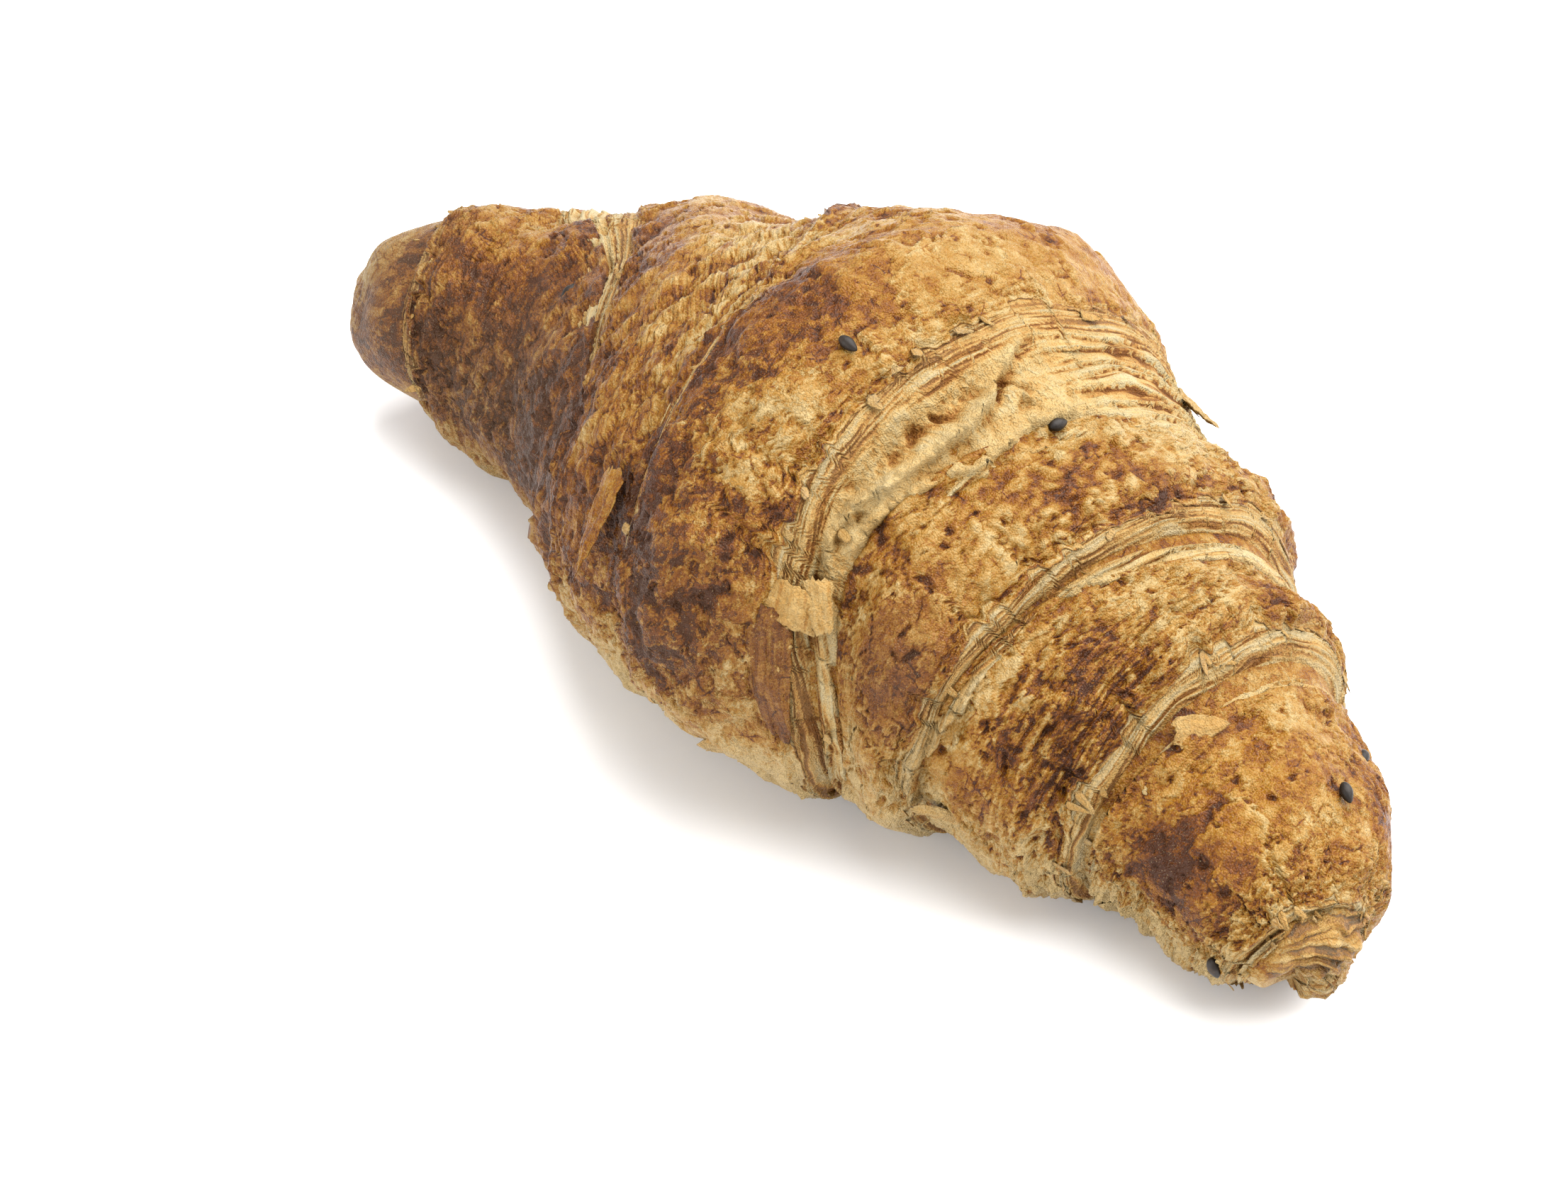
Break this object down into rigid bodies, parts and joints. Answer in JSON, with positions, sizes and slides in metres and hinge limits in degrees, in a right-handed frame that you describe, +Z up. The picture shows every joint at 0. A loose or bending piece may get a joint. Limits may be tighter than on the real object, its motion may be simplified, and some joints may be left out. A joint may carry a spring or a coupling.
{
  "type": "multigrain croissant",
  "caption": "Whole baked croissant: a straight roll of layered dough with blunt tips, spiral turns of browned crust, opened flaky faces and a few seeds.",
  "frame": {"origin": "centre of the bounding box in X and Y, at the flat base's height", "axes": "+X along the roll towards the narrower tip, +Z up, -Y is the front that the picture shows"},
  "size_m": [0.1606, 0.0778, 0.0606],
  "materials": {
    "crust": "satin"
  },
  "bodies": {
    "root": {"croissant": "crust"}
  },
  "joints": []
}
